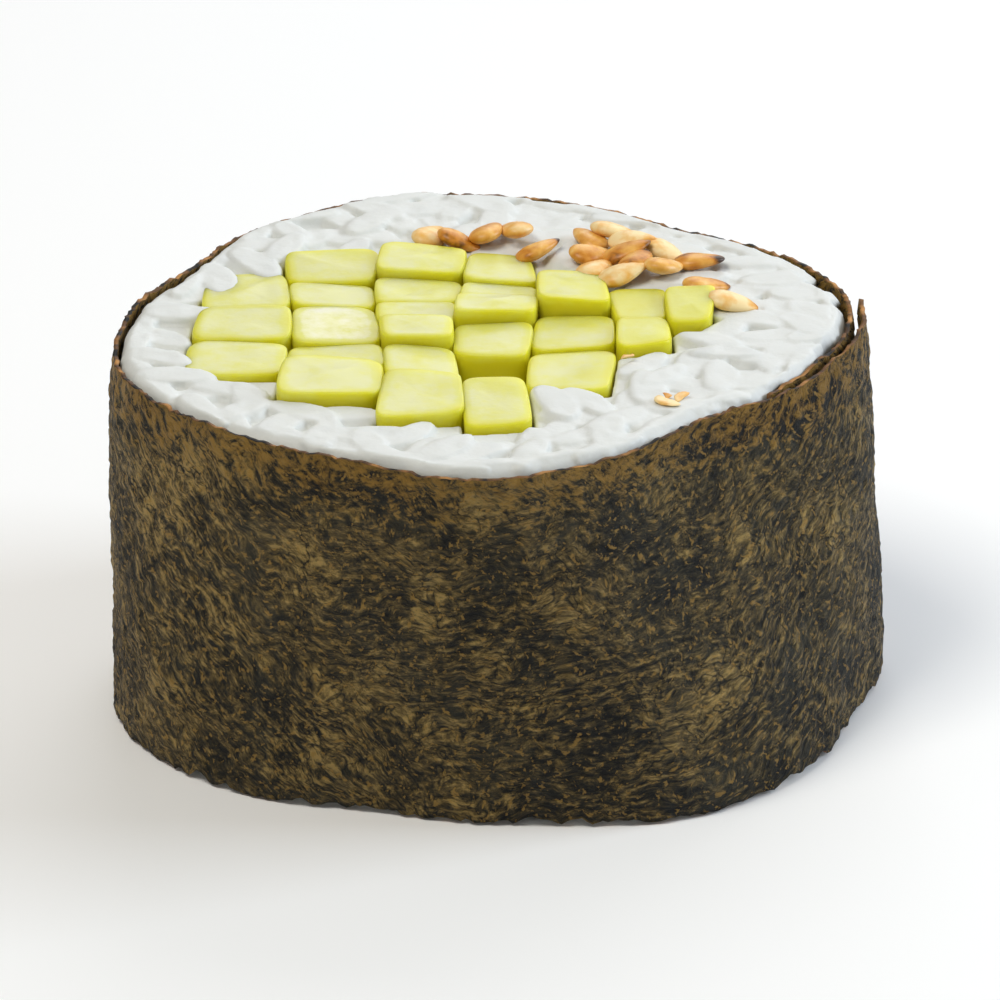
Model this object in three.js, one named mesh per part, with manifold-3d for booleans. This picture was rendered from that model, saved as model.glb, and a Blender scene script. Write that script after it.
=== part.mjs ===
// A cucumber maki roll: one sheet of nori wrapped round pressed rice, with a bundle of cucumber sticks through
// it and toasted sesame seeds lying on the cut rice. Millimetres, +Z up. The roll stands on one knife cut.
import * as THREE from 'three';
import { mergeVertices } from 'three/addons/utils/BufferGeometryUtils.js';
import Module from 'manifold-3d';

const wasm = await Module();
wasm.setup();

// The roll, from one knife cut to the other. A wave is [times round, swell, degrees to its crest].
const rollHeight = 24.6;
const rimOutline = {
	radius: 22.5,
	shift: [ 0, 0 ],
	waves: [ [ 2, 0.7, 40 ], [ 3, 0.7, 1 ], [ 4, 0.95, 10 ], [ 5, 0.25, - 9 ] ],
};
const footOutline = {
	radius: 23.4,
	shift: [ 1.4, - 0.4 ],
	waves: [ [ 2, 0.9, - 1 ], [ 3, 0.7, - 32 ], [ 4, 0.85, 19 ], [ 5, 0.4, 20 ] ],
};

// The nori sheet
const noriThickness = 0.45;
const noriLayer = 0.6; // how far the second layer lifts the sheet where it laps over its own start
const lapEnd = 9.5; // degrees, where the sheet's outer edge lies
const lapLength = 42; // degrees of the turn that are two layers thick
const lapRamp = 6; // degrees over which the inner edge presses into the rice
const noriFootLift = 0.4; // the sheet stops just above the knife cut
const rimDrop = 0.3; // and just under the upper one
const shoulder = { swell: 0.9, everywhere: 0.15, middle: - 27, halfWidth: 26 }; // it rounds in at the rim
const noriColumns = 120;
const noriLevels = [ 0, 0.06, 0.3, 0.6, 0.82, 0.93, 1 ];
const ripple = 0.13; // slow dents in the wet sheet

// The rice
const pieceGap = 0.35; // clearance between pieces that touch
const coreDrop = 0.6; // the packed body under the grains that show
const coreInset = 0.7; // how far that body stays in from the sheet at the cut ends
const coreChamfer = 2.2;
const grainSize = { length: 6.6, width: 3.1, thickness: 2.8 };
const grainSpacing = 4.1;
const rimGrainSpacing = 4.3;
const grainTilt = 14; // degrees
const knifeDrop = [ 0.02, 0.3 ]; // how far a grain's crown lies below the knife cut

// The cucumber: lines between the columns of sticks, and for each column its front and its sticks' depths
const columnLines = [ - 17.6, - 11.9, - 6, - 1, 3.5, 8.4, 12.3, 15 ];
const stickColumns = [
	{ front: - 8, depths: [ 5.1, 4.7, 6.4 ] },
	{ front: - 12.4, depths: [ 5.4, 4, 5.6, 3.8, 4.8 ] },
	{ front: - 15.4, depths: [ 6.6, 5.4, 3.4, 3, 3.8, 4.6 ] },
	{ front: - 16.4, depths: [ 7, 4.4, 5, 3, 3.2, 4.6 ] },
	{ front: - 10.6, depths: [ 6.8, 5.6, 5.4 ] },
	{ front: - 4, depths: [ 4, 5 ] },
	{ front: - 0.6, depths: [ 4.8 ] },
];
const columnSway = { swing: 0.45, wave: 26 }; // the lines between the columns wander
const stickInset = 0.2; // half the gap between two sticks
const stickCorner = 0.24; // how far a softened corner reaches, as a share of the stick's shortest side
const holeCorner = 0.05;
const stickSlant = 0.7;
const stickProud = [ - 0.45, 0.55 ]; // a stick's end against the knife cut
const stickTilt = 4; // degrees
const sunkStick = { number: 16, drop: 2.7 };

// The sesame seeds, in two clusters along the back right of the bundle: x, y and heading in degrees
const seedSize = { length: 3.2, width: 1.9, thickness: 0.9 };
const seedPlaces = [
	[ - 2.9, 13.3, 60 ], [ - 1, 12.4, 0 ], [ 0.7, 13, 70 ], [ 2.4, 13.5, 110 ], [ 3.9, 11, 30 ],
	[ 7.2, 12.6, 120 ], [ 8.9, 12.9, - 15 ], [ 10, 11.3, - 20 ], [ 12.3, 10.4, - 20 ], [ 7.4, 10.2, 30 ],
	[ 9.6, 9.6, 10 ], [ 7.6, 7.9, 60 ], [ 10.2, 7.9, 70 ], [ 9.3, 6.3, 20 ], [ 12, 7.4, 45 ],
	[ 14.2, 8.9, 0 ], [ 14.6, 5.2, 20 ], [ 16.2, 2.4, - 5 ],
];
const seedLift = 0.4;
const seedTilt = 12; // degrees

const materials = {
	nori: new THREE.MeshStandardMaterial( { color: 0x3a3020, roughness: 0.62, metalness: 0 } ),
	rice: new THREE.MeshStandardMaterial( { color: 0xe2e5e1, roughness: 0.5, metalness: 0 } ),
	cucumber: new THREE.MeshStandardMaterial( { color: 0xdde08f, roughness: 0.35, metalness: 0 } ),
};

const radians = THREE.MathUtils.degToRad;
const degrees = THREE.MathUtils.radToDeg;
const lerp = THREE.MathUtils.lerp;

// Draws that are the same each run
function makeDraw( seed ) {

	let state = seed;
	return ( low = 0, high = 1 ) => {

		state = ( state * 1664525 + 1013904223 ) % 4294967296;
		return low + ( high - low ) * state / 4294967296;

	};

}

// Outline of the roll

function outlineRadius( outline, angle ) {

	return outline.waves.reduce(
		( sum, [ times, swell, crest ] ) => sum + swell * Math.cos( times * ( angle - radians( crest ) ) ),
		outline.radius,
	);

}

// How far the wall swells out between its foot and its rim, most at four fifths of the height
function wallSwell( angle, level ) {

	const away = THREE.MathUtils.euclideanModulo( degrees( angle ) - shoulder.middle + 180, 360 ) - 180;
	const corner = Math.exp( - ( ( away / shoulder.halfWidth ) ** 2 ) );
	const profile = level ** 2 * Math.sqrt( 1 - level ) / ( 0.8 ** 2 * Math.sqrt( 0.2 ) );
	return ( shoulder.everywhere + shoulder.swell * corner ) * profile;

}

function wallRipple( angle, level ) {

	return ripple * ( Math.sin( 7 * angle + 5 * level ) + Math.sin( 11 * angle - 7 * level + 1.3 ) );

}

// A point of the roll's wall, at a share of the height and a distance outside the sheet's outer face
function wallPoint( angle, level, outside ) {

	const blend = THREE.MathUtils.smoothstep( level, 0, 1 );
	const radius = lerp( outlineRadius( footOutline, angle ), outlineRadius( rimOutline, angle ), blend )
		+ wallSwell( angle, level ) + wallRipple( angle, level ) + outside;
	return new THREE.Vector3(
		radius * Math.cos( angle ) + lerp( footOutline.shift[ 0 ], rimOutline.shift[ 0 ], blend ),
		radius * Math.sin( angle ) + lerp( footOutline.shift[ 1 ], rimOutline.shift[ 1 ], blend ),
		level * rollHeight,
	);

}

// The share of a whole turn from the sheet's outer edge, going round with the wrap
function turnShare( angle ) {

	return THREE.MathUtils.euclideanModulo( degrees( angle ) - lapEnd, 360 ) / 360;

}

// Both faces of the sheet: it spirals out by one layer in a turn, and is two layers thick along the lap
function noriFaces( angle ) {

	const turn = turnShare( angle );
	const outer = - noriLayer * ( 1 - turn );
	const lapStart = 360 - lapLength;
	const doubled = THREE.MathUtils.smoothstep( turn * 360, lapStart, lapStart + lapRamp );
	return { outer, inner: outer - noriThickness - noriLayer * doubled };

}

// A lathed body whose points are then moved: each has an angle, its profile radius and its level
function movedLathe( profile, columns, move ) {

	const geometry = new THREE.LatheGeometry( profile.map( ( [ x, y ] ) => new THREE.Vector2( x, y ) ), columns );
	geometry.rotateX( Math.PI / 2 );
	const position = geometry.attributes.position;
	for ( let i = 0; i < position.count; i ++ ) {

		const place = new THREE.Vector3().fromBufferAttribute( position, i );
		const moved = move( Math.atan2( place.y, place.x ), Math.hypot( place.x, place.y ), place.z );
		position.setXYZ( i, moved.x, moved.y, moved.z );

	}

	return welded( geometry );

}

function welded( geometry ) {

	geometry.deleteAttribute( 'normal' );
	geometry.deleteAttribute( 'uv' );
	const whole = mergeVertices( geometry, 1e-4 );
	whole.computeVertexNormals();
	return whole;

}

function toSolid( geometry ) {

	return new wasm.Manifold( new wasm.Mesh( {
		numProp: 3,
		vertProperties: Float32Array.from( geometry.attributes.position.array ),
		triVerts: Uint32Array.from( geometry.index.array ),
	} ) );

}

function toGeometry( solid ) {

	const { numProp, vertProperties, triVerts } = solid.getMesh();
	const geometry = new THREE.BufferGeometry();
	const places = vertProperties.filter( ( value, i ) => i % numProp < 3 );
	geometry.setAttribute( 'position', new THREE.BufferAttribute( places, 3 ) );
	geometry.setIndex( new THREE.BufferAttribute( triVerts, 1 ) );
	geometry.computeVertexNormals();
	return geometry;

}

function joined( solids ) {

	return solids.reduce( ( whole, solid ) => whole.add( solid ) );

}

// Nori

function noriHeight( angle, level ) {

	const rim = rollHeight - rimDrop + 0.16 * Math.sin( 2 * angle + 1 ) + 0.12 * Math.sin( 5 * angle );
	return lerp( noriFootLift, rim, level );

}

function makeNori() {

	const inside = 1;
	const outside = 2;
	const columnStep = 360 / noriColumns;
	const profile = [
		...noriLevels.map( ( level ) => [ outside, level ] ),
		...noriLevels.map( ( level ) => [ inside, level ] ).reverse(),
		[ outside, 0 ],
	];
	return movedLathe( profile, noriColumns, ( columnAngle, side, level ) => {

		// The column just past the sheet's edge is drawn up to it, which leaves a sharp step
		const pastEdge = turnShare( columnAngle ) * 360;
		const angle = pastEdge < columnStep ? columnAngle - radians( pastEdge - 0.3 ) : columnAngle;
		const faces = noriFaces( angle );
		const place = wallPoint( angle, level, side > ( inside + outside ) / 2 ? faces.outer : faces.inner );
		place.z = noriHeight( angle, level );
		return place;

	} );

}

// Cucumber

function lineX( line, y ) {

	return columnLines[ line ] + columnSway.swing * Math.sin( 2 * Math.PI * y / columnSway.wave + 1.7 * line );

}

// The four corners of each stick's share of the bundle, anticlockwise from its front left
function makeCells( draw ) {

	const cells = [];
	stickColumns.forEach( ( { front, depths }, column ) => {

		let near = [ front + draw( - stickSlant, stickSlant ), front + draw( - stickSlant, stickSlant ) ];
		let y = front;
		for ( const depth of depths ) {

			y += depth;
			const far = [ y + draw( - stickSlant, stickSlant ) / 2, y + draw( - stickSlant, stickSlant ) / 2 ];
			cells.push( [
				new THREE.Vector2( lineX( column, near[ 0 ] ), near[ 0 ] ),
				new THREE.Vector2( lineX( column + 1, near[ 1 ] ), near[ 1 ] ),
				new THREE.Vector2( lineX( column + 1, far[ 1 ] ), far[ 1 ] ),
				new THREE.Vector2( lineX( column, far[ 0 ] ), far[ 0 ] ),
			] );
			near = far;

		}

	} );
	return cells;

}

// The corners of an outline whose sides are all moved inwards by a distance, or outwards by a negative one
function movedIn( corners, distance ) {

	return corners.map( ( corner, i ) => {

		const back = corners[ ( i + corners.length - 1 ) % corners.length ].clone().sub( corner ).normalize();
		const ahead = corners[ ( i + 1 ) % corners.length ].clone().sub( corner ).normalize();
		const sine = Math.abs( back.cross( ahead ) );
		return corner.clone().addScaledVector( back.add( ahead ), distance / sine );

	} );

}

// A straight bar with softened long edges from the foot up to a slightly tilted end
function makeBar( corners, cornerShare, top, slopeX, slopeY ) {

	const sides = corners.map( ( corner, i ) => corner.distanceTo( corners[ ( i + 1 ) % corners.length ] ) );
	const softness = cornerShare * Math.min( ...sides );
	const shape = new THREE.Shape();
	corners.forEach( ( corner, i ) => {

		const previous = corners[ ( i + corners.length - 1 ) % corners.length ];
		const next = corners[ ( i + 1 ) % corners.length ];
		const before = previous.clone().sub( corner ).setLength( softness ).add( corner );
		const after = next.clone().sub( corner ).setLength( softness ).add( corner );
		if ( i === 0 ) shape.moveTo( before.x, before.y );
		else shape.lineTo( before.x, before.y );
		shape.quadraticCurveTo( corner.x, corner.y, after.x, after.y );

	} );
	shape.closePath();
	const bar = new THREE.ExtrudeGeometry( shape, { depth: 1, bevelEnabled: false, curveSegments: 3 } );
	const geometry = welded( bar );
	const middle = corners[ 0 ].clone().add( corners[ 2 ] ).divideScalar( 2 );
	const position = geometry.attributes.position;
	for ( let i = 0; i < position.count; i ++ ) {

		const rise = slopeX * ( position.getX( i ) - middle.x ) + slopeY * ( position.getY( i ) - middle.y );
		position.setZ( i, position.getZ( i ) > 0.5 ? top + rise : 0 );

	}

	return geometry;

}

function makeSticks( cells, draw ) {

	return cells.map( ( cell, i ) => {

		const slope = Math.tan( radians( stickTilt ) );
		const drop = i + 1 === sunkStick.number ? sunkStick.drop : 0;
		const top = rollHeight + draw( ...stickProud ) - drop;
		const slopeX = draw( - slope, slope );
		const slopeY = draw( - slope, slope );
		return makeBar( movedIn( cell, stickInset ), stickCorner, top, slopeX, slopeY );

	} );

}

// Rice

function riceLimit( angle, level, inset ) {

	return wallPoint( angle, level, noriFaces( angle ).inner - pieceGap - inset );

}

// The packed body that the grains lie on: in from the sheet at both ends, where the grains' tips stand out
function makeCore() {

	const edge = 0.05;
	const top = rollHeight - coreDrop;
	const rings = [
		[ 0, coreInset ],
		[ coreChamfer, edge ],
		[ rollHeight / 2, edge ],
		[ rollHeight - coreChamfer, edge ],
		[ top, coreInset ],
	];
	const profile = [ [ 0, 0 ], ...rings.map( ( ring, i ) => [ 1, i + 1 ] ), [ 0, rings.length + 1 ] ];
	return toSolid( movedLathe( profile, 72, ( angle, side, index ) => {

		const ring = rings[ THREE.MathUtils.clamp( Math.round( index ) - 1, 0, rings.length - 1 ) ];
		const place = riceLimit( angle, ring[ 0 ] / rollHeight, ring[ 1 ] );
		return side < 0.5 ? new THREE.Vector3( 0, 0, ring[ 0 ] ) : place;

	} ) );

}

// All the room inside the sheet, between the two knife cuts
function makeRoom() {

	const levels = [ 0, 0.12, 0.5, 0.8, 0.9, 1 ];
	const profile = [ [ 0, 0 ], ...levels.map( ( level ) => [ 1, level ] ), [ 0, 1 ] ];
	return toSolid( movedLathe( profile, 72, ( angle, side, level ) => {

		return side < 0.5 ? new THREE.Vector3( 0, 0, level * rollHeight ) : riceLimit( angle, level, 0 );

	} ) );

}

// A long rounded body along its own Y, narrower towards one end
function makeKernel( { length, width, thickness }, taper, around, along ) {

	const geometry = welded( new THREE.SphereGeometry( 1, around, along ) );
	const position = geometry.attributes.position;
	for ( let i = 0; i < position.count; i ++ ) {

		const slim = 1 - taper * position.getY( i );
		position.setX( i, position.getX( i ) * slim * width / 2 );
		position.setY( i, position.getY( i ) * length / 2 );
		position.setZ( i, position.getZ( i ) * slim * thickness / 2 );

	}

	return geometry;

}

// A kernel laid at a point, with its length along a heading and its nose tilted up or down
function layKernel( kernel, place, heading, tilt, scale = 1 ) {

	const turn = new THREE.Euler( tilt, 0, heading - Math.PI / 2, 'ZXY' );
	const pose = new THREE.Matrix4().makeRotationFromEuler( turn );
	pose.scale( new THREE.Vector3( scale, scale, scale ) ).setPosition( place );
	return toSolid( kernel.clone().applyMatrix4( pose ) );

}

// The distance from a point to the bundle, below zero inside it
function bundleDistance( cells, point ) {

	return Math.min( ...cells.map( ( cell ) => {

		return Math.max( ...cell.map( ( corner, i ) => {

			const side = cell[ ( i + 1 ) % cell.length ].clone().sub( corner ).normalize();
			return point.clone().sub( corner ).cross( side );

		} ) );

	} ) );

}

function makeGrains( cells, draw ) {

	const kernel = makeKernel( grainSize, 0.08, 7, 4 );
	const half = grainSize.thickness / 2;
	const grains = [];

	// Round both rims, tips outwards
	for ( const top of [ true, false ] ) {

		const count = Math.round( 2 * Math.PI * rimOutline.radius / rimGrainSpacing );
		for ( let i = 0; i < count; i ++ ) {

			const angle = 2 * Math.PI * ( i + draw( - 0.25, 0.25 ) ) / count;
			const inset = grainSize.length / 2 - draw( 0.1, 1.1 );
			const place = riceLimit( angle, top ? 1 : 0, inset );
			const crown = draw( ...knifeDrop );
			place.z = top ? rollHeight - crown - half : crown + half;
			const heading = angle + radians( draw( - 50, 50 ) );
			const tilt = radians( draw( - grainTilt, grainTilt ) );
			grains.push( layKernel( kernel, place, heading, tilt, draw( 0.9, 1.05 ) ) );

		}

	}

	// Over the cut that shows, in staggered rows between the rim and the bundle
	const reach = rimOutline.radius + 3;
	const rowStep = grainSpacing * Math.sin( Math.PI / 3 );
	for ( let row = 0; row * rowStep < 2 * reach; row ++ ) {

		for ( let x = - reach + ( row % 2 ) * grainSpacing / 2; x < reach; x += grainSpacing ) {

			const point = new THREE.Vector2( x + draw( - 0.6, 0.6 ), - reach + row * rowStep + draw( - 0.6, 0.6 ) );
			const crown = draw( ...knifeDrop );
			const heading = draw( 0, Math.PI );
			const tilt = radians( draw( - grainTilt, grainTilt ) );
			const size = draw( 0.88, 1.05 );
			const limit = riceLimit( Math.atan2( point.y, point.x ), 1, 0 );
			const inside = Math.hypot( limit.x, limit.y ) - point.length();
			if ( inside < 3.4 || bundleDistance( cells, point ) < 0.7 ) continue;
			const place = new THREE.Vector3( point.x, point.y, rollHeight - crown - half );
			grains.push( layKernel( kernel, place, heading, tilt, size ) );

		}

	}

	return grains;

}

function makeSeeds( draw ) {

	const kernel = makeKernel( seedSize, 0.3, 6, 4 );
	return seedPlaces.map( ( [ x, y, heading ] ) => {

		const place = new THREE.Vector3( x, y, rollHeight - coreDrop + seedLift + draw( 0, 0.2 ) );
		return layKernel( kernel, place, radians( heading ), radians( draw( - seedTilt, seedTilt ) ) );

	} );

}

function makeRice( cells, draw ) {

	const holes = cells.map( ( cell ) => {

		const bar = makeBar( movedIn( cell, stickInset - pieceGap ), holeCorner, 2 * rollHeight, 0, 0 );
		return toSolid( bar.translate( 0, 0, - rollHeight / 2 ) );

	} );
	const grains = joined( makeGrains( cells, draw ) ).intersect( makeRoom() );
	const rice = joined( [ makeCore(), grains, ...makeSeeds( draw ) ] ).subtract( joined( holes ) );
	const pieces = rice.decompose().sort( ( a, b ) => b.volume() - a.volume() );
	return toGeometry( pieces[ 0 ] );

}

// The whole roll, its box centred over the origin

const cells = makeCells( makeDraw( 11 ) );
const roll = new THREE.Group();

function addPiece( name, geometry, material ) {

	const mesh = new THREE.Mesh( geometry, material );
	mesh.name = name;
	roll.add( mesh );

}

addPiece( 'nori', makeNori(), materials.nori );
addPiece( 'rice', makeRice( cells, makeDraw( 5 ) ), materials.rice );
makeSticks( cells, makeDraw( 23 ) ).forEach( ( geometry, i ) => {

	addPiece( `cucumber_${ String( i + 1 ).padStart( 2, '0' ) }`, geometry, materials.cucumber );

} );

const middle = new THREE.Box3().setFromObject( roll ).getCenter( new THREE.Vector3() );
roll.position.set( - middle.x, - middle.y, 0 );

export default roll;
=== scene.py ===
import math
import random

import bmesh
import bpy
from mathutils import Euler, Matrix, Vector, noise
from mathutils.bvhtree import BVHTree


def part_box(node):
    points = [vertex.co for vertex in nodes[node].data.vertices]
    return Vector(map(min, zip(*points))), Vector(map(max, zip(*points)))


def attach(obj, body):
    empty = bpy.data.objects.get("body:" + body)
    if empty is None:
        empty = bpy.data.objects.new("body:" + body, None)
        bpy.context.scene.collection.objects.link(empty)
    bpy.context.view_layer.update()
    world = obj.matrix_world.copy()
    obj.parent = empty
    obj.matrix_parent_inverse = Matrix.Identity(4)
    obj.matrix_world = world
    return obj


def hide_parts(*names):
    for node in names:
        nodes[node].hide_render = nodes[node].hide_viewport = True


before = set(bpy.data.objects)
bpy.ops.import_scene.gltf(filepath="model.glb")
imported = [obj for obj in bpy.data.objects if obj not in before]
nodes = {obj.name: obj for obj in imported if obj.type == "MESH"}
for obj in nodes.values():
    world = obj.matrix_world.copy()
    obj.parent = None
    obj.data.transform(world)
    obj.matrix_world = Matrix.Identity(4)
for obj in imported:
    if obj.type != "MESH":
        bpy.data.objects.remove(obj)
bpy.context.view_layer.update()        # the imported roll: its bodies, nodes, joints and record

# A cucumber maki roll. The frame gives every place in metres; sizes below are in millimetres.
mm = 0.001
stickNames = sorted(name for name in nodes if name.startswith("cucumber_"))
riceTop = 24.6  # the knife cut that shows
noise.seed_set(4)  # so that each run gives the same unevenness


def linear(hexColour):  # sRGB hex to the linear values that shaders take
    channels = [int(hexColour[i:i + 2], 16) / 255 for i in (1, 3, 5)]
    return [c / 12.92 if c <= 0.04045 else ((c + 0.055) / 1.055) ** 2.4 for c in channels] + [1.0]


def addNode(tree, kind, settings=None, values=None, links=None, stops=None):
    node = tree.nodes.new("ShaderNode" + kind)
    for name, value in (settings or {}).items():
        setattr(node, name, value)
    for socket, value in (values or {}).items():
        node.inputs[socket].default_value = value
    for socket, source in (links or {}).items():
        tree.links.new(source, node.inputs[socket])
    if stops:
        ramp = node.color_ramp.elements
        while len(ramp) < len(stops):
            ramp.new(0.5)
        for element, (place, colour) in zip(ramp, stops):
            element.position = place
            element.color = linear(colour)
    return node


def newMaterial(name):
    material = bpy.data.materials.new(name)
    material.use_nodes = True
    tree = material.node_tree
    shader = tree.nodes["Principled BSDF"]
    return material, tree, shader


def smoothStep(low, high, value):
    share = min(max((value - low) / (high - low), 0.0), 1.0)
    return share * share * (3 - 2 * share)


def finishPiece(bm, name, materials, replaced=()):
    mesh = bpy.data.meshes.new(name)
    bm.normal_update()
    bm.to_mesh(mesh)
    bm.free()
    for polygon in mesh.polygons:
        polygon.use_smooth = True
    for material in materials:
        mesh.materials.append(material)
    piece = bpy.data.objects.new(name, mesh)
    bpy.context.scene.collection.objects.link(piece)
    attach(piece, "root")
    if replaced:
        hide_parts(*replaced)
    return piece


def nodeTree(names):  # for finding the nearest point or a hit on some CAD nodes
    bm = bmesh.new()
    for name in names:
        bm.from_mesh(nodes[name].data)
    tree = BVHTree.FromBMesh(bm)
    bm.free()
    return tree


# Camera: the photograph looks down on the roll by 24 degrees with a long lens
camera = {"pitch": 24, "distance": 500, "lens": 284, "aim": (0, 0, 12.2)}

cameraData = bpy.data.cameras.new("camera")
cameraData.lens = camera["lens"]
cameraData.sensor_width = 36
cameraData.clip_start = 0.01
cameraData.clip_end = 20
cameraObject = bpy.data.objects.new("camera", cameraData)
pitch = math.radians(camera["pitch"])
back = Vector((0, -math.cos(pitch), math.sin(pitch)))
cameraObject.location = (Vector(camera["aim"]) + back * camera["distance"]) * mm
cameraObject.rotation_euler = (-back).to_track_quat("-Z", "Y").to_euler()
bpy.context.scene.collection.objects.link(cameraObject)
bpy.context.scene.camera = cameraObject
print("camera set")


# Studio: a plain pale floor and soft light
studio = {
    "floor": "#fbfbfa",
    "sky": "#f3f4f4",
    "skyStrength": 0.31,
    "lampAim": (0, 0, 12),
    # name, place in mm, size in mm, power in watts, colour
    "lamps": [
        ("keyLamp", (-200, -170, 520), 240, 1.6, "#fffaf0"),
        ("backLamp", (120, 460, 330), 420, 1.1, "#fbfbff"),
        ("rightLamp", (430, 60, 200), 240, 1.6, "#e2edfa"),
    ],
}

world = bpy.data.worlds.new("studio")
world.use_nodes = True
world.node_tree.nodes["Background"].inputs["Color"].default_value = linear(studio["sky"])
world.node_tree.nodes["Background"].inputs["Strength"].default_value = studio["skyStrength"]
bpy.context.scene.world = world
bpy.context.scene.view_settings.view_transform = "Standard"

for name, place, size, power, colour in studio["lamps"]:
    lamp = bpy.data.lights.new(name, "AREA")
    lamp.size = size * mm
    lamp.energy = power
    lamp.color = linear(colour)[:3]
    lampObject = bpy.data.objects.new(name, lamp)
    lampObject.location = Vector(place) * mm
    aim = Vector(studio["lampAim"]) * mm - lampObject.location
    lampObject.rotation_euler = aim.to_track_quat("-Z", "Y").to_euler()
    bpy.context.scene.collection.objects.link(lampObject)

floorMaterial, tree, shader = newMaterial("painted_board")  # matt paint: an even pale ground
shader.inputs["Base Color"].default_value = linear(studio["floor"])
shader.inputs["Roughness"].default_value = 0.8
bm = bmesh.new()
bmesh.ops.create_grid(bm, x_segments=2, y_segments=2, size=3)
floorMesh = bpy.data.meshes.new("floor")
bm.to_mesh(floorMesh)
bm.free()
floorMesh.materials.append(floorMaterial)
floor = bpy.data.objects.new("floor", floorMesh)
bpy.context.scene.collection.objects.link(floor)
print("studio set")


# Nori: one dried sheet, moist from the rice, wrapped once round and lapped over its own start
nori = {
    "thickness": 0.28,
    "lap": 42,              # degrees that are two layers thick
    "edge": 9.5,            # degrees, where the outer edge lies
    "edgeFade": 26,         # degrees before the edge in which the sheet comes off
    "edgeStand": 0.09,      # how far the outer edge stands off at the rim
    "rimDrop": 0.2,         # how far the rim lies under the CAD rim, so that the rice stands over it
    "foot": 0.16,           # height of the sheet's lower edge
    "lowest": 0.08,
    "columns": 520,
    "rows": 76,
    "smoothing": 7,         # rounds of smoothing before the relief
    # relief: how high it stands, then its waves to the millimetre
    "wrinkle": 0.14,
    "crease": 0.072,
    "grain": 0.12,
    "wrinkleWaves": 0.22,
    "creaseWaves": (0.35, 0.9),  # along the sheet, up it
    "grainWaves": 1.7,
    # how uneven the two edges are, and their waves
    "raggedRim": 0.22,
    "rimWaves": 1.1,
    "raggedFoot": 0.7,
    "footWaves": 0.45,
    # painted shade on the shoulder under the rim: degrees along the sheet, degrees to each side, mm below the
    # rim
    "shoulder": 362,
    "shoulderFade": (12, 34),
    "shoulderBand": (3.4, 0.6),
    # the fibres' lie: degrees, the pattern's offset, and the mm along the sheet in which it takes over
    "lie": ((-42, 0.0, None), (4, 31.0, (140, 170)), (38, 67.0, (166, 198))),
    # patterns, in cells to the millimetre
    "fibreCells": 1.2,
    "mottleCells": 0.17,
    "crackCells": 0.3,
    "chaffCells": 2.4,
    "slant": 33,            # degrees
    # how much the parts of the mat are lighter or darker
    "mottleShare": 0.36,
    "strandShare": 0.22,
    # how deep the cracks go, in the bump and in their painted shade
    "crackDepth": 0.045,
    "paleRim": 0.014,
    "paleLeft": 0.013,
    # painted shade on the shoulder under the rim
    "paintedShoulderShade": 0.055,
    "frayedDepth": 7.5,     # mm below the rim where chips of bare fibre begin
    "frayed": 0.24,
    # the mat's colours from its thickest to its barest parts, at these shades, then those laid over it
    "shades": (0.455, 0.5, 0.541, 0.585),
    "dark": "#0e0b06",
    "olive": "#43391f",
    "tan": "#8c7440",
    "gold": "#dcb96c",
    # grey of the patches: partly the mat's own tone, partly painted sheen
    "greyToneAndSheen": "#5a5848",
    "fleck": "#cda250",
    "chip": "#c0923a",
    "cutEdge": "#7a5226",
    "tornEnd": "#c08a48",
    "sheen": "#c9d6dc",
}


def noriFibres(tree, place, roam):  # the mat and the single strands on it, with their own lie along the sheet
    mat = None
    strand = None
    for turn, away, taken in nori["lie"]:
        mapping = addNode(tree, "Mapping", None,
                          {"Rotation": (0, 0, math.radians(-turn)), "Location": (away, away, 0)},
                          {"Vector": place})
        layers = []
        for squeeze, detail in (((0.75, 1.7, 1.0), 8.0), ((0.8, 3.6, 1.0), 4.0)):
            stretch = addNode(tree, "VectorMath", {"operation": "MULTIPLY"}, {1: squeeze},
                              {0: mapping.outputs["Vector"]})
            layer = addNode(tree, "TexNoise", None,
                            {"Scale": nori["fibreCells"], "Detail": detail, "Roughness": 0.72},
                            {"Vector": stretch.outputs["Vector"]})
            layers.append(layer.outputs["Fac"])
        if taken:
            share = addNode(tree, "MapRange", None, {"From Min": taken[0], "From Max": taken[1]},
                            {"Value": roam})
            for i, old in enumerate((mat, strand)):
                mixed = addNode(tree, "Mix", {"data_type": "FLOAT"}, None,
                                {0: share.outputs["Result"], 2: old, 3: layers[i]})
                layers[i] = mixed.outputs[0]
        mat, strand = layers
    return mat, strand


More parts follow.
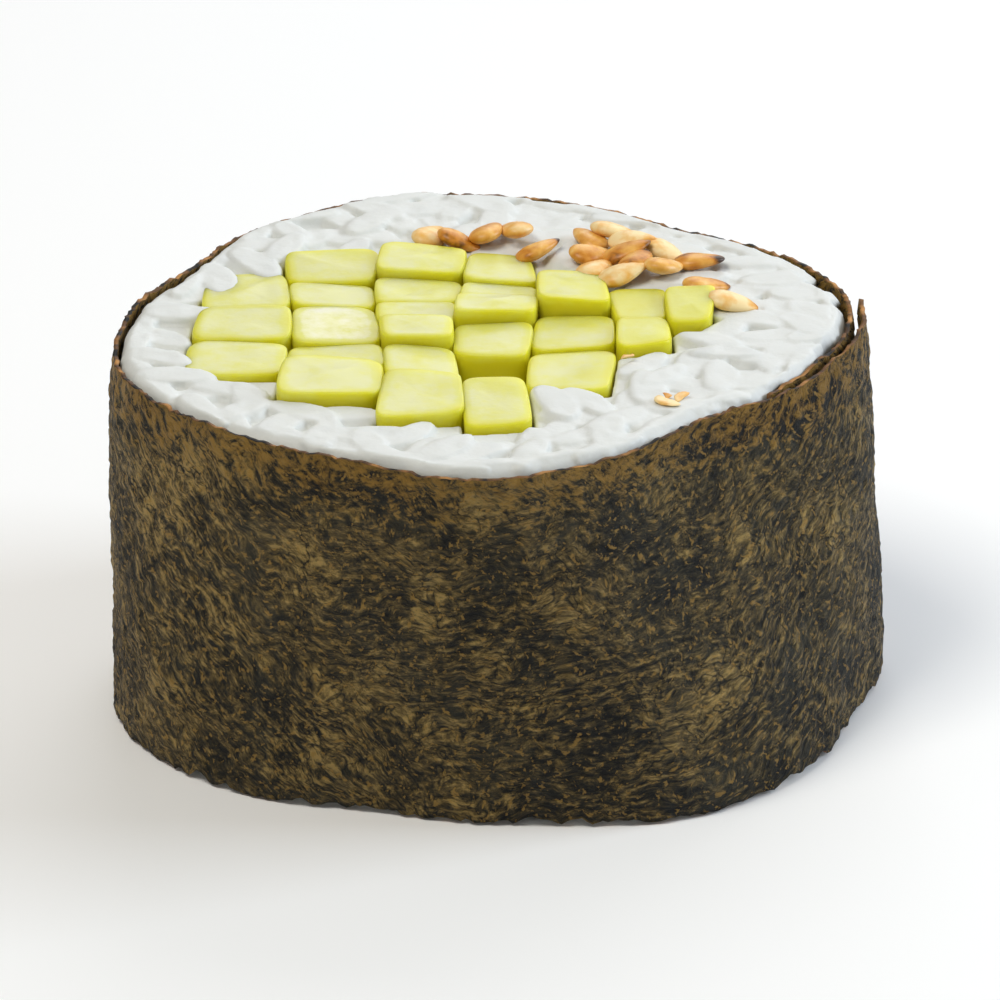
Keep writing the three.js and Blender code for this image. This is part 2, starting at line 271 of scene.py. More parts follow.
def noriMaterial():
    # Nori, dried and pressed like paper: a mat of short fibres, near black with olive and tan streaks,
    # slightly glossy where the light grazes it
    material, tree, shader = newMaterial("nori_pressed_seaweed")
    wrap = addNode(tree, "Attribute", {"attribute_name": "wrap"})  # mm along the sheet and up it
    wobble = addNode(tree, "TexNoise", None, {"Scale": 0.25, "Detail": 2.0},
                     {"Vector": wrap.outputs["Vector"]})
    shift = addNode(tree, "VectorMath", {"operation": "MULTIPLY_ADD"},
                    {1: (2.5, 2.5, 0.0)}, {0: wobble.outputs["Color"], 2: wrap.outputs["Vector"]})
    along = addNode(tree, "SeparateXYZ", None, None, {"Vector": wrap.outputs["Vector"]})
    region = addNode(tree, "TexNoise", None, {"Scale": 0.06, "Detail": 1.0},
                     {"Vector": wrap.outputs["Vector"]})
    roam = addNode(tree, "Math", {"operation": "MULTIPLY_ADD"}, {1: 90.0},
                   {0: region.outputs["Fac"], 2: along.outputs["X"]})
    slanted = addNode(tree, "Mapping", None,
                      {"Rotation": (0, 0, math.radians(nori["slant"])), "Location": (13.7, 5.3, 0)},
                      {"Vector": shift.outputs["Vector"]})
    mat, strand = noriFibres(tree, shift.outputs["Vector"], roam.outputs["Value"])
    mottle = addNode(tree, "TexNoise", None, {"Scale": nori["mottleCells"], "Detail": 6.0, "Roughness": 0.66},
                     {"Vector": slanted.outputs["Vector"]})
    both = addNode(tree, "Mix", {"data_type": "FLOAT"}, {0: nori["mottleShare"]},
                   {2: mat, 3: mottle.outputs["Fac"]})
    strands = addNode(tree, "Mix", {"data_type": "FLOAT"}, {0: nori["strandShare"]},
                      {2: both.outputs[0], 3: strand})
    # short cracks where the damp mat has puckered: bumped in, and painted dark as the shade in them
    crackLine = addNode(tree, "TexNoise", None,
                        {"Scale": nori["crackCells"], "Detail": 3.0, "Roughness": 0.75},
                        {"Vector": slanted.outputs["Vector"]})
    offMiddle = addNode(tree, "Math", {"operation": "SUBTRACT"}, {1: 0.5}, {0: crackLine.outputs["Fac"]})
    lineGap = addNode(tree, "Math", {"operation": "ABSOLUTE"}, None, {0: offMiddle.outputs["Value"]})
    crack = addNode(tree, "MapRange", None,
                    {"From Min": 0.003, "From Max": 0.022, "To Min": -nori["crackDepth"], "To Max": 0.0},
                    {"Value": lineGap.outputs["Value"]})
    crackShare = addNode(tree, "MapRange", None, {"From Min": 0.47, "From Max": 0.57},
                         {"Value": mottle.outputs["Fac"]})
    cracked = addNode(tree, "Math", {"operation": "MULTIPLY_ADD"}, None,
                      {0: crack.outputs["Result"], 1: crackShare.outputs["Result"], 2: strands.outputs[0]})
    # it is lighter towards the rim and on its left, and its shoulder under the rim is painted darker as shade
    height = addNode(tree, "Math", {"operation": "MULTIPLY_ADD"}, {1: nori["paleRim"] / riceTop},
                     {0: along.outputs["Y"], 2: cracked.outputs["Value"]})
    leftPaler = addNode(tree, "MapRange", None,
                        {"From Min": 128.0, "From Max": 106.0, "To Max": nori["paleLeft"]},
                        {"Value": along.outputs["X"]})
    paler = addNode(tree, "Math", {"operation": "ADD"}, None,
                    {0: leftPaler.outputs["Result"], 1: height.outputs["Value"]})
    # painted shade: darker on the shoulder under the rim, by the share in wrap's third value
    shoulder = addNode(tree, "Math", {"operation": "MULTIPLY_ADD"}, {1: -nori["paintedShoulderShade"]},
                       {0: along.outputs["Z"], 2: paler.outputs["Value"]})
    tints = [nori[tint] for tint in ("dark", "olive", "tan", "gold")]
    colour = addNode(tree, "ValToRGB", None, None, {"Fac": shoulder.outputs["Value"]},
                     list(zip(nori["shades"], tints)))
    # the knife frays the rim: more and more gold brown chips of bare fibre towards it
    frayed = addNode(tree, "MapRange", None,
                     {"From Min": riceTop - nori["frayedDepth"], "From Max": riceTop - 0.2,
                      "To Max": nori["frayed"]},
                     {"Value": along.outputs["Y"]})
    chips = addNode(tree, "Math", {"operation": "ADD"}, None, {0: frayed.outputs["Result"], 1: mat})
    chipShare = addNode(tree, "MapRange", None, {"From Min": 0.65, "From Max": 0.75, "To Max": 0.8},
                        {"Value": chips.outputs["Value"]})
    # grey patches, partly the mat's own grey tone and partly painted sheen, and flecks of bare gold fibre
    patches = addNode(tree, "TexNoise", None, {"Scale": nori["mottleCells"], "Detail": 5.0, "Roughness": 0.7},
                      {"Vector": shift.outputs["Vector"]})
    greyToneAndSheenShare = addNode(tree, "MapRange", None, {"From Min": 0.5, "From Max": 0.66, "To Max": 0.35},
                         {"Value": patches.outputs["Fac"]})
    chaff = addNode(tree, "TexNoise", None, {"Scale": nori["chaffCells"], "Detail": 2.0, "Roughness": 0.6},
                    {"Vector": slanted.outputs["Vector"]})
    fleckShare = addNode(tree, "MapRange", None, {"From Min": 0.585, "From Max": 0.65, "To Max": 0.75},
                         {"Value": chaff.outputs["Fac"]})
    skin = colour.outputs["Color"]
    for share, tint in ((greyToneAndSheenShare, "greyToneAndSheen"), (fleckShare, "fleck"), (chipShare, "chip")):
        layered = addNode(tree, "Mix", {"data_type": "RGBA"}, {7: linear(nori[tint])},
                          {0: share.outputs["Result"], 6: skin})
        skin = layered.outputs[2]
    tree.links.new(skin, shader.inputs["Base Color"])
    rough = addNode(tree, "MapRange", None,
                    {"From Min": 0.4, "From Max": 0.6, "To Min": 0.75, "To Max": 0.42},
                    {"Value": height.outputs["Value"]})
    tree.links.new(rough.outputs["Result"], shader.inputs["Roughness"])
    bump = addNode(tree, "Bump", None, {"Strength": 1.0, "Distance": 0.005},
                   {"Height": height.outputs["Value"]})
    tree.links.new(bump.outputs["Normal"], shader.inputs["Normal"])
    shader.inputs["IOR"].default_value = 1.45
    shader.inputs["Specular IOR Level"].default_value = 0.25
    shader.inputs["Sheen Weight"].default_value = 0.06
    shader.inputs["Sheen Roughness"].default_value = 0.4
    shader.inputs["Sheen Tint"].default_value = linear(nori["sheen"])
    return material


def noriEdgeMaterial():
    # The same sheet where the knife cut it: lighter torn fibre ends, orange brown
    material, tree, shader = newMaterial("nori_cut_edge")
    wrap = addNode(tree, "Attribute", {"attribute_name": "wrap"})
    patches = addNode(tree, "TexNoise", None, {"Scale": 0.8, "Detail": 3.0},
                      {"Vector": wrap.outputs["Vector"]})
    colour = addNode(tree, "ValToRGB", None, None, {"Fac": patches.outputs["Fac"]},
                     [(0.38, nori["dark"]), (0.52, nori["cutEdge"]), (0.68, nori["tornEnd"])])
    tree.links.new(colour.outputs["Color"], shader.inputs["Base Color"])
    shader.inputs["Roughness"].default_value = 0.7
    return material


def rayRim(wall, angle, outerRadius):  # the height of the sheet's cut edge at an angle, mm
    direction = Vector((math.cos(angle), math.sin(angle), 0))
    hit = wall.ray_cast(direction * (outerRadius - 0.25) * mm + Vector((0, 0, 0.05)), Vector((0, 0, -1)))
    return (0.05 - hit[3]) / mm


def makeNori():
    wall = nodeTree(["nori"])
    low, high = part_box("nori")
    start = nori["edge"] - nori["lap"]
    span = 360 + nori["lap"]
    half = nori["thickness"] / 2

    def rayRadius(angle, height, outside):  # mm from the axis to the sheet's outer or inner face
        direction = Vector((math.cos(angle), math.sin(angle), 0))
        level = min(max(height * mm, low.z + 0.0003), high.z - 0.0009)
        if outside:
            hit = wall.ray_cast(direction * 0.04 + Vector((0, 0, level)), -direction)
            return (0.04 - hit[3]) / mm
        hit = wall.ray_cast(Vector((0, 0, level)), direction)
        return hit[3] / mm

    bm = bmesh.new()
    bmesh.ops.create_grid(bm, x_segments=nori["columns"], y_segments=nori["rows"], size=1)
    bmesh.ops.reverse_faces(bm, faces=bm.faces)
    wrapLayer = bm.verts.layers.float_vector.new("wrap")
    columns = {}
    for v in bm.verts:
        columns.setdefault(round(v.co.x, 6), []).append(v)
    arc = 0.0
    lastPoint = None
    for x in sorted(columns):
        turned = (x + 1) / 2 * span
        angle = math.radians(start + turned)
        # the first stretch lies under the lap, the rest is the outer face
        under = 1 - smoothStep(nori["lap"] - 1, nori["lap"] + 5, turned)
        nearEdge = smoothStep(span - nori["edgeFade"], span, turned)
        # painted shade on the shoulder under the rim: its share along the sheet and its band, kept in wrap's
        # third value
        shoulderShadeShare = 1 - smoothStep(*nori["shoulderFade"], abs(turned - nori["shoulder"]))
        rim = rayRim(wall, angle, rayRadius(angle, 24, True)) - nori["rimDrop"]
        shoulderShadeBand = [rim - depth for depth in nori["shoulderBand"]]
        for v in columns[x]:
            level = (v.co.y + 1) / 2
            height = nori["foot"] + level * (rim - nori["foot"])
            outer = rayRadius(angle, height, True) - half
            inner = rayRadius(angle, height, False) + half if under > 0 else outer
            radius = outer + (inner - outer) * under
            radius += nori["edgeStand"] * nearEdge * smoothStep(0.55, 1.0, level)
            v.co = Vector((radius * math.cos(angle), radius * math.sin(angle), height)) * mm
            v[wrapLayer] = Vector((arc, height, shoulderShadeShare * smoothStep(*shoulderShadeBand, height)))
        middle = Vector((radius * math.cos(angle), radius * math.sin(angle), 0))
        if lastPoint:
            arc += (middle - lastPoint).length
        lastPoint = middle
        for v in columns[x]:
            v[wrapLayer].x = arc

    inner = [v for x in sorted(columns)[1:-1] for v in columns[x]]
    for step in range(nori["smoothing"]):
        bmesh.ops.smooth_vert(bm, verts=inner, factor=0.5, use_axis_x=True, use_axis_y=True, use_axis_z=False)
    bm.normal_update()
    top = max(v[wrapLayer].y for v in bm.verts)
    for v in bm.verts:
        place = v.co / mm
        flow = v[wrapLayer]
        wrinkle = noise.fractal(place * nori["wrinkleWaves"], 1.0, 2.0, 3)
        ridge = Vector((flow.x * nori["creaseWaves"][0], flow.y * nori["creaseWaves"][1], 3.1))
        crease = noise.ridged_multi_fractal(ridge, 0.9, 2.1, 3, 0.8, 2.0) - 1.2
        grain = noise.fractal(place * nori["grainWaves"], 0.8, 2.0, 3)
        rise = nori["wrinkle"] * wrinkle + nori["crease"] * crease + nori["grain"] * grain
        v.co += v.normal * rise * mm
        rimShare = smoothStep(top - 1.0, top - 0.1, flow.y)
        tear = noise.fractal(Vector((flow.x * nori["rimWaves"], 0.4, 0)), 0.7, 2.0, 3)
        v.co.z += rimShare * nori["raggedRim"] * tear * mm
        footShare = 1 - smoothStep(0.2, 1.6, flow.y)
        lift = abs(noise.fractal(Vector((flow.x * nori["footWaves"], 0.7, 0)), 0.8, 2.0, 3))
        v.co.z = max(v.co.z + footShare * nori["raggedFoot"] * lift * mm, nori["lowest"] * mm)
    piece = finishPiece(bm, "nori_sheet", [noriMaterial(), noriEdgeMaterial()], ["nori"])
    solidify = piece.modifiers.new("thickness", "SOLIDIFY")
    solidify.thickness = nori["thickness"] * mm
    solidify.offset = 0
    solidify.material_offset_rim = 1


makeNori()
print("nori made")


# Rice: cooked short grains, pressed together and cut flat
rice = {
    "length": 5.4,
    "width": 2.35,
    "thickness": 2.7,
    "bend": 0.25,
    "sizes": (0.85, 1.1),    # share of that size, by chance
    "spacing": 2.6,
    "jitter": 0.7,           # how far a grain lies off its even place
    "wallRoom": 2.6,         # how far the middles of the inner grains keep off the sheet
    "stickRoom": 0.9,        # and off the cucumber
    "rimSpacing": 1.8,
    "rimTurns": (55, 30),    # degrees that grains across and along the rim may turn
    "tilt": 12,
    "lean": 0.02,            # how far a grain's cut may slope, as a rise over a run
    "cutLow": 0.36,          # how far a cut grain may lie below the knife cut
    "sunk": (0.35, 0.7),     # how deep under the cut a grain's middle may be
    "softness": 0.12,        # how round the cut leaves a grain's edge
    "dents": 0.16,           # unevenness of the cut
    "coreDrop": 0.65,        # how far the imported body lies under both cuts
    "rimRound": 0.5,         # how round the grains are at the rim
    "pits": 0.2,
    "pressed": 0.12,         # how far the grains press into the sheet's inner face
    "rimGap": (0.2, 1.0),    # how far the grains may fall short of the sheet: anywhere, at the lap
    "gapAngle": -2,
    "gapFade": (18, 36),     # degrees from there
    "merge": 0.175,          # the grains are merged to one surface of about this fineness
    "thinning": 0.28,        # share of its triangles that stay
    # patterns, in cells to the metre: over 3.8 mm, 2.4 mm, and 0.4 mm for the starch on the skin
    "toneCells": 260.0,
    "cloudCells": 420.0,
    "skinCells": 2600.0,
    "white": "#dadcd8",
    "grey": "#cbcfce",
    "cream": "#dfddcd",
}


def riceMaterial():
    # Cooked rice, steamed and pressed: translucent starch, moist, white with faint grey and cream grains
    material, tree, shader = newMaterial("rice_steamed_grain")
    place = addNode(tree, "TexCoord").outputs["Object"]
    tone = addNode(tree, "TexNoise", None, {"Scale": rice["toneCells"], "Detail": 1.0}, {"Vector": place})
    cloud = addNode(tree, "TexNoise", None, {"Scale": rice["cloudCells"], "Detail": 4.0}, {"Vector": place})
    shade = addNode(tree, "Mix", {"data_type": "FLOAT"}, {0: 0.45},
                    {2: tone.outputs["Fac"], 3: cloud.outputs["Fac"]})
    colour = addNode(tree, "ValToRGB", None, None, {"Fac": shade.outputs[0]},
                     [(0.1, rice["grey"]), (0.45, rice["white"]), (0.75, rice["white"]),
                      (0.95, rice["cream"])])
    tree.links.new(colour.outputs["Color"], shader.inputs["Base Color"])
    skin = addNode(tree, "TexNoise", None, {"Scale": rice["skinCells"], "Detail": 3.0}, {"Vector": place})
    bump = addNode(tree, "Bump", None, {"Strength": 0.25, "Distance": 0.0001},
                   {"Height": skin.outputs["Fac"]})
    tree.links.new(bump.outputs["Normal"], shader.inputs["Normal"])
    shader.inputs["Roughness"].default_value = 0.48
    shader.inputs["IOR"].default_value = 1.45
    shader.inputs["Subsurface Weight"].default_value = 0.42
    shader.inputs["Subsurface Radius"].default_value = (1.0, 0.97, 0.9)
    shader.inputs["Subsurface Scale"].default_value = 0.00028
    return material


def grainTemplate(size, around, along, taper, bend):  # a long grain along Y, mm
    bm = bmesh.new()
    bmesh.ops.create_uvsphere(bm, u_segments=around, v_segments=along, radius=1,
                              matrix=Matrix.Rotation(math.radians(90), 4, "X"))
    for v in bm.verts:
        slim = 1 - taper * v.co.y
        v.co.x = v.co.x * slim * size[1] / 2 + bend * (1 - v.co.y ** 2)
        v.co.z *= slim * size[2] / 2
        v.co.y *= size[0] / 2
    mesh = bpy.data.meshes.new("template")
    bm.to_mesh(mesh)
    bm.free()
    return mesh


def addCopy(bm, template, matrix):
    count = len(bm.verts)
    bm.from_mesh(template)
    bm.verts.ensure_lookup_table()
    added = bm.verts[count:]
    bmesh.ops.transform(bm, matrix=matrix, verts=added)
    return added


def rimRadius(tree, angle, height):  # mm from the axis to the inside of the sheet
    direction = Vector((math.cos(angle), math.sin(angle), 0))
    return tree.ray_cast(Vector((0, 0, height * mm)), direction)[3] / mm


def bundleGap(tree, point):  # mm from a point to the cucumber, below zero inside it
    probe = Vector((point.x, point.y, 12)) * mm
    place, normal, index, distance = tree.find_nearest(probe)
    sign = -1 if (probe - place).dot(normal) < 0 else 1
    return sign * distance / mm


def grainPlaces(draw, wall, sticks, height):  # where grains lie on a cut, and which way each points
    places = []
    reach = 26
    jitter = rice["jitter"]
    rowStep = rice["spacing"] * 0.87
    for row in range(int(2 * reach / rowStep)):
        for column in range(int(2 * reach / rice["spacing"])):
            x = (column + (row % 2) / 2) * rice["spacing"] - reach + draw.uniform(-jitter, jitter)
            y = row * rowStep - reach + draw.uniform(-jitter, jitter)
            point = Vector((x, y))
            room = rimRadius(wall, math.atan2(point.y, point.x), height) - point.length
            if room > rice["wallRoom"] and bundleGap(sticks, point) > rice["stickRoom"]:
                places.append((point, draw.uniform(0, math.pi)))
    turns = int(2 * math.pi * 23 / rice["rimSpacing"])
    acrossTurn, alongTurn = rice["rimTurns"]
    for i in range(turns):
        angle = 2 * math.pi * (i + draw.uniform(-0.3, 0.3)) / turns
        if i % 2:  # across the rim
            radius = rimRadius(wall, angle, height) - rice["length"] / 2 + draw.uniform(0.2, 0.9)
            heading = angle + math.radians(draw.uniform(-acrossTurn, acrossTurn))
        else:  # along the rim
            radius = rimRadius(wall, angle, height) - rice["width"] / 2 + draw.uniform(0.2, 0.5)
            heading = angle + math.radians(90 + draw.uniform(-alongTurn, alongTurn))
        places.append((Vector((radius * math.cos(angle), radius * math.sin(angle))), heading))
    return places


def packedBody():  # the rice under the grains, cut from the CAD solid a little below both knife cuts
    bm = bmesh.new()
    bm.from_mesh(nodes["rice"].data)
    bmesh.ops.remove_doubles(bm, verts=bm.verts, dist=0.00001)
    for height, direction in ((riceTop - rice["coreDrop"], 1), (rice["coreDrop"], -1)):
        cut = bmesh.ops.bisect_plane(bm, geom=bm.verts[:] + bm.edges[:] + bm.faces[:], dist=1e-7,
                                     plane_co=(0, 0, height * mm), plane_no=(0, 0, direction),
                                     clear_outer=True)
        rimEdges = [e for e in cut["geom_cut"] if isinstance(e, bmesh.types.BMEdge)]
        bmesh.ops.triangle_fill(bm, edges=rimEdges, use_beauty=True)
    mesh = bpy.data.meshes.new("body")
    bm.to_mesh(mesh)
    bm.free()
    return mesh


def makeRice():
    draw = random.Random(7)
    wall = nodeTree(["nori"])
    sticks = nodeTree(stickNames)
    template = grainTemplate((rice["length"], rice["width"], rice["thickness"]), 16, 10, 0.06, rice["bend"])
    bm = bmesh.new()
    bm.from_mesh(packedBody())
    # the cut that shows and the one underneath: its height, which way is out, where the sheet is measured
    for height, up, probe in ((riceTop, 1, 22), (0.0, -1, 2.5)):
        for point, heading in grainPlaces(draw, wall, sticks, probe):
            drop = draw.uniform(0.0, rice["cutLow"])
            depth = draw.uniform(*rice["sunk"])
            size = draw.uniform(*rice["sizes"])
            tilt = math.radians(draw.uniform(-1, 1) * rice["tilt"])
            turn = Euler((tilt, 0, heading - math.pi / 2), "ZXY")
            place = Vector((point.x, point.y, height - up * depth))
            matrix = Matrix.LocRotScale(place, turn, Vector((size, size, size)))
            lean = Vector([draw.uniform(-rice["lean"], rice["lean"]) for axis in "xy"])
            offLap = abs(math.degrees(math.atan2(point.y, point.x)) - rice["gapAngle"])
            gap = rice["rimGap"][0] + rice["rimGap"][1] * (1 - smoothStep(*rice["gapFade"], offLap))
            short = draw.uniform(0, gap)
            roundness = rice["rimRound"] * draw.uniform(0.5, 2.0)
            for v in addCopy(bm, template, matrix):
                # what stands over the knife cut is pressed flat, with a soft edge
                dent = rice["dents"] * noise.fractal(Vector((v.co.x, v.co.y, 40 * up)) * 0.55, 1.0, 2.0, 2)
                flat = height - up * (drop + lean.dot(v.co.xy - point) + abs(dent))
                under = up * (flat - v.co.z) / rice["softness"]
                v.co.z = flat - up * rice["softness"] * (math.log1p(math.exp(-abs(under))) + max(under, 0))
                # what stands out past the sheet is pressed back, most of all right at the rim
                rounding = roundness * smoothStep(-1.1, 0.0, up * (v.co.z - height)) ** 2
                rounding += rice["pits"] * abs(noise.noise(v.co * 0.9))
                limit = rimRadius(wall, math.atan2(v.co.y, v.co.x), min(max(v.co.z, 1.0), 23.4))
                limit += rice["pressed"] - short - rounding
                if v.co.xy.length > limit:
                    v.co.xy *= limit / v.co.xy.length
                v.co *= mm
    bmesh.ops.recalc_face_normals(bm, faces=bm.faces)
    piece = finishPiece(bm, "rice_grains", [riceMaterial()], ["rice"])
    remesh = piece.modifiers.new("merge", "REMESH")
    remesh.mode = "VOXEL"
    remesh.voxel_size = rice["merge"] * mm
    remesh.use_smooth_shade = True
    thin = piece.modifiers.new("thin", "DECIMATE")
    thin.ratio = rice["thinning"]


makeRice()
print("rice made")


# Cucumber: raw sticks, cut with the roll
cucumber = {
    "spread": 0.25,          # mm that each side comes out, so that the sticks touch
    "bevel": 0.17,
    # the sides' deeper colour is painted shade, and the rim of a cut end takes some of it
    "outline": 0.38,         # how much of a side's colour the rim of a cut end has
    "endSlope": 1,           # how far a stick's upper end may slope
    "loops": (0.6, 1.5, 3.5, 7.0),  # mm from a stick's end
    "rings": (0.8, 0.6),     # rings inside a cut end, each as a share of the one round it
    # where the sides' painted shade fades in
    "fade": (0.1, 1.6),      # mm from a cut end where a side's colour begins and where it is full
    "dome": 0.15,
    "rough": 0.13,
    "roughWaves": 0.6,       # to the millimetre
    # painted shade, deeper green at the right and paler at the left: mm across the roll, and the change in
    # shade
    "paintedShadeAcrossReach": 15,
    "paintedShadeAcross": (-0.175, 0.16),
    # patterns, in cells to the metre: over 3 mm for the cloudy flesh, and 0.7 mm for the wet cut
    "cloudCells": 330.0,
    "cutCells": 1500.0,
    "pale": "#dbda98",
    "flesh": "#d8d666",
    # the painted shade down the sides between sticks
    "deep": "#d6cf30",
    "seedCore": "#ece9c4",
    "coreSticks": ("cucumber_06",),
}


def cucumberMaterial(name, palest):
    # Raw cucumber flesh, knife cut: wet, translucent, pale on the cut, with painted shade deep yellow green
    # between sticks
    material, tree, shader = newMaterial(name)
    place = addNode(tree, "TexCoord").outputs["Object"]
    cloud = addNode(tree, "TexNoise", None,
                    {"Scale": cucumber["cloudCells"], "Detail": 5.0, "Roughness": 0.6}, {"Vector": place})
    # painted shade: the sides between the sticks are coloured deeper than the cut ends
    wall = addNode(tree, "Attribute", {"attribute_name": "wall"})  # 0 inside a cut end, 1 down a side
    across = addNode(tree, "SeparateXYZ", None, None, {"Vector": place})
    # painted shade: deeper green towards the right of the bundle, paler towards the left
    low, high = cucumber["paintedShadeAcross"]
    paintedShadeAcross = addNode(tree, "MapRange", None,
                    {"From Min": 0.0, "From Max": cucumber["paintedShadeAcrossReach"] * mm, "To Min": low, "To Max": high},
                    {"Value": across.outputs["X"]})
    base = addNode(tree, "Math", {"operation": "ADD"}, None,
                   {0: paintedShadeAcross.outputs["Result"], 1: wall.outputs["Fac"]})
    depth = addNode(tree, "Math", {"operation": "MULTIPLY_ADD"}, {1: 1.25},
                    {0: cloud.outputs["Fac"], 2: base.outputs["Value"]})
    colour = addNode(tree, "ValToRGB", None, None, {"Fac": depth.outputs["Value"]},
                     [(0.35, palest), (0.62, cucumber["flesh"]), (1.0, cucumber["deep"])])
    tree.links.new(colour.outputs["Color"], shader.inputs["Base Color"])
    fine = addNode(tree, "TexNoise", None, {"Scale": cucumber["cutCells"], "Detail": 4.0}, {"Vector": place})
    bump = addNode(tree, "Bump", None, {"Strength": 0.2, "Distance": 0.0001}, {"Height": fine.outputs["Fac"]})
    tree.links.new(bump.outputs["Normal"], shader.inputs["Normal"])
    shader.inputs["Roughness"].default_value = 0.32
    shader.inputs["IOR"].default_value = 1.36
    shader.inputs["Subsurface Weight"].default_value = 0.9
    shader.inputs["Subsurface Radius"].default_value = (1.0, 0.96, 0.3)
    shader.inputs["Subsurface Scale"].default_value = 0.0022
    return material


def makeStick(name, material, draw):
    bm = bmesh.new()
    wall = bm.verts.layers.float.new("wall")
    bm.from_mesh(nodes[name].data)
    bmesh.ops.remove_doubles(bm, verts=bm.verts, dist=0.00001)
    bmesh.ops.dissolve_limit(bm, angle_limit=math.radians(1), verts=bm.verts, edges=bm.edges)
    bmesh.ops.recalc_face_normals(bm, faces=bm.faces)
    sides = {}
    for v in bm.verts:
        outward = sum((f.normal for f in v.link_faces if abs(f.normal.z) < 0.5), Vector())
        sides[v] = Vector((outward.x, outward.y, 0)).normalized() * cucumber["spread"] * mm
    for v, shift in sides.items():
        v.co += shift
    for face in [f for f in bm.faces if abs(f.normal.z) > 0.9]:
        bmesh.ops.bevel(bm, geom=list(face.edges), affect="EDGES", offset=cucumber["bevel"] * mm, segments=2,
                        profile=0.5, material=-1, clamp_overlap=True)
    top = max(v.co.z for v in bm.verts) / mm
    for loop in cucumber["loops"]:
        for height in (top - cucumber["endSlope"] - loop, loop):
            bmesh.ops.bisect_plane(bm, geom=bm.verts[:] + bm.edges[:] + bm.faces[:], dist=1e-7,
                                   plane_co=(0, 0, height * mm), plane_no=(0, 0, 1))
    ends = [f for f in bm.faces if abs(f.normal.z) > 0.9 and len(f.verts) > 6]
    for face in sorted(ends, key=lambda f: f.calc_center_median().z):
        up = 1 if face.normal.z > 0 else -1
        centre = face.calc_center_median()
        for share in cucumber["rings"]:
            bmesh.ops.inset_individual(bm, faces=[face], thickness=0, depth=0)
            for v in face.verts:
                v.co = centre + (v.co - centre) * share
                v[wall] = -1  # inside the cut end
        middle = bmesh.ops.poke(bm, faces=[face])["verts"][0]
        middle.co.z += up * draw.uniform(-1, 1) * cucumber["dome"] * mm
        middle[wall] = -1
    low = min(v.co.z for v in bm.verts)
    high = max(v.co.z for v in bm.verts)
    phase = Vector((0, 0, draw.random()))
    # painted shade: the sides take the deeper colour, fading in from the cut ends
    for v in bm.verts:
        under = min(v.co.z - low, high - v.co.z) / mm
        side = smoothStep(*cucumber["fade"], under)
        v[wall] = 0.0 if v[wall] < 0 else cucumber["outline"] + (1 - cucumber["outline"]) * side
        shift = noise.noise_vector(v.co / mm * cucumber["roughWaves"] + phase)
        v.co += shift * cucumber["rough"] * mm
        v.co.z = max(v.co.z, 0.0)
    piece = finishPiece(bm, name + "_flesh", [material], [name])
    subdivision = piece.modifiers.new("smooth", "SUBSURF")
    subdivision.levels = subdivision.render_levels = 2


flesh = cucumberMaterial("cucumber_raw_flesh", cucumber["pale"])
seedCore = cucumberMaterial("cucumber_raw_core", cucumber["seedCore"])
stickDraw = random.Random(3)
for stickName in stickNames:
    makeStick(stickName, seedCore if stickName in cucumber["coreSticks"] else flesh, stickDraw)
print("cucumber made")


# Sesame: toasted seeds along the back right of the bundle
sesame = {
    "size": (3.3, 2.0, 0.95),
    "lift": 0.22,            # height of a seed's middle over the cut
    "lifts": (-0.1, 0.15),   # and its change by chance
    "pile": 0.4,             # how much higher a seed lies that lies on another
    "pileReach": 2.1,        # distance between two middles within which it does
    "tilt": 14,
    "roll": 25,
    "crumple": 0.06,
    "crumpleWaves": 0.9,     # to the millimetre
    "toast": 0.37,           # how far along the colours a seed's own toasting goes, and its tip's
    "tipToast": 0.2,
    "tipReach": (0.7, 1.6),  # mm from the middle
    # x and y from the middle of the cut, heading in degrees and how dark it is toasted
    "seeds": [
        (-4.4, 13.4, 60, 0.3), (-2.5, 12.5, 0, 1), (-0.8, 13.1, 70, 0.75), (0.9, 13.6, 110, 0.5),
        (2.4, 11.1, 30, 0.7), (5.7, 12.7, 120, 0.6), (7.4, 13.0, -15, 0.2), (8.5, 11.4, -20, 0.1),
        (10.8, 10.5, -20, 0.25), (5.9, 10.3, 30, 0.7), (8.1, 9.7, 10, 0.85), (6.1, 8.0, 60, 0.45),
        (8.7, 8.0, 70, 0.9), (7.8, 6.4, 20, 0.2), (10.5, 7.5, 45, 0.5), (12.7, 9.0, 0, 0.9),
        (13.1, 5.3, 20, 0.75), (14.7, 2.5, -5, 0.1),
    ],
    # specks of seed skin in the rice: x and y, length in mm and how dark each is
    "specks": [
        (10.3, -12.9, 2.0, 0.1), (11.2, -12.3, 1.4, 0.3), (10.2, -12.1, 0.9, 0.7), (7.9, -6.0, 0.9, 0.15),
    ],
    "speckSize": (1.0, 0.5, 0.14),  # of a speck 1 mm long
    "speckCrumple": 0.12,
    "cloudCells": 900.0,     # to the metre: blotches about 1.1 mm across
    "light": "#fbe0a6",
    "gold": "#f0b657",
    "dark": "#cf8524",
    "tip": "#3c2208",
}


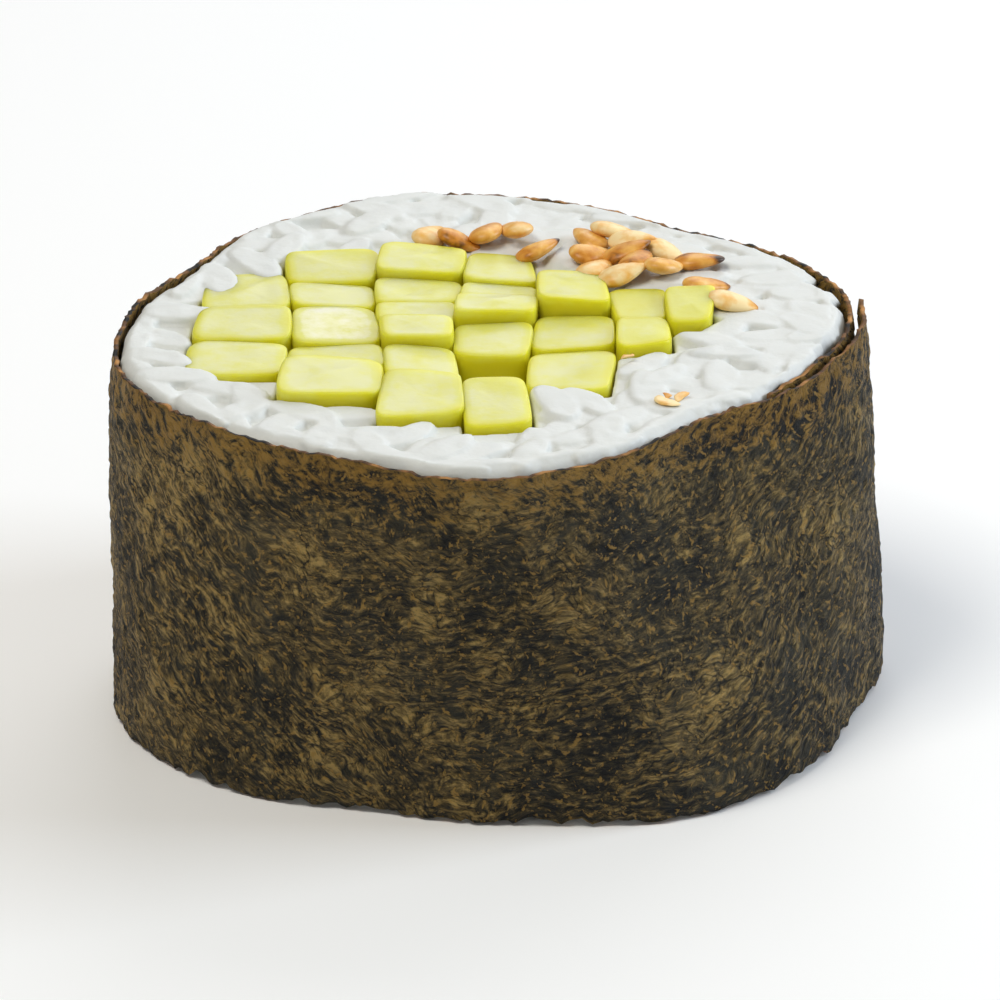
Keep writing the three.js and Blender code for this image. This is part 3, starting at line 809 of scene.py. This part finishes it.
def sesameMaterial():
    # Sesame seed, hulled and dry toasted: satin, cream to golden brown, darker at its pointed tip
    material, tree, shader = newMaterial("sesame_toasted_seed")
    toast = addNode(tree, "Attribute", {"attribute_name": "toast"})
    place = addNode(tree, "TexCoord").outputs["Object"]
    cloud = addNode(tree, "TexNoise", None, {"Scale": sesame["cloudCells"], "Detail": 3.0}, {"Vector": place})
    shade = addNode(tree, "Math", {"operation": "MULTIPLY_ADD"}, {1: 0.8},
                    {0: cloud.outputs["Fac"], 2: toast.outputs["Fac"]})
    colour = addNode(tree, "ValToRGB", None, None, {"Fac": shade.outputs["Value"]},
                     [(0.4, sesame["light"]), (0.6, sesame["gold"]), (0.8, sesame["dark"]),
                      (0.95, sesame["tip"])])
    tree.links.new(colour.outputs["Color"], shader.inputs["Base Color"])
    shader.inputs["Roughness"].default_value = 0.38
    shader.inputs["IOR"].default_value = 1.47
    return material


def makeSesame():
    draw = random.Random(19)
    template = grainTemplate(sesame["size"], 18, 14, 0.34, 0.05)
    bm = bmesh.new()
    toast = bm.verts.layers.float.new("toast")
    laid = []
    for x, y, heading, dark in sesame["seeds"]:
        onOthers = any(math.dist((x, y), other) < sesame["pileReach"] for other in laid)
        laid.append((x, y))
        tilt = math.radians(draw.uniform(-1, 1) * sesame["tilt"])
        roll = math.radians(draw.uniform(-sesame["roll"], sesame["roll"]))
        turn = Euler((tilt, roll, math.radians(heading - 90)), "ZXY")
        height = riceTop + sesame["lift"] + draw.uniform(*sesame["lifts"]) + sesame["pile"] * onOthers
        place = Vector((x, y, height))
        matrix = Matrix.LocRotScale(place, turn, Vector((1, 1, 1)))
        crumple = draw.uniform(0, 100)
        for v in addCopy(bm, template, matrix):
            spot = Vector((v.co.x, v.co.y, v.co.z + crumple)) * sesame["crumpleWaves"]
            v.co += (v.co - place).normalized() * noise.fractal(spot, 0.8, 2.0, 3) * sesame["crumple"]
            # the pointed end is toasted darker
            towardsTip = (v.co - place).dot(turn.to_matrix() @ Vector((0, 1, 0)))
            tipShare = smoothStep(*sesame["tipReach"], towardsTip)
            v[toast] = dark * sesame["toast"] + tipShare * sesame["tipToast"]
    flake = grainTemplate(sesame["speckSize"], 12, 8, 0.3, 0.12)
    for x, y, size, dark in sesame["specks"]:
        place = Vector((x, y, riceTop))
        turn = Euler((draw.uniform(-0.15, 0.15), 0, draw.uniform(0, 6)))
        for v in addCopy(bm, flake, Matrix.LocRotScale(place, turn, Vector((size, size, size)))):
            v.co += sesame["speckCrumple"] * noise.noise_vector(v.co * 2.5)
            v[toast] = dark * 0.4
    for v in bm.verts:
        v.co *= mm
    bmesh.ops.recalc_face_normals(bm, faces=bm.faces)
    finishPiece(bm, "sesame_seeds", [sesameMaterial()])


makeSesame()
print("sesame made")
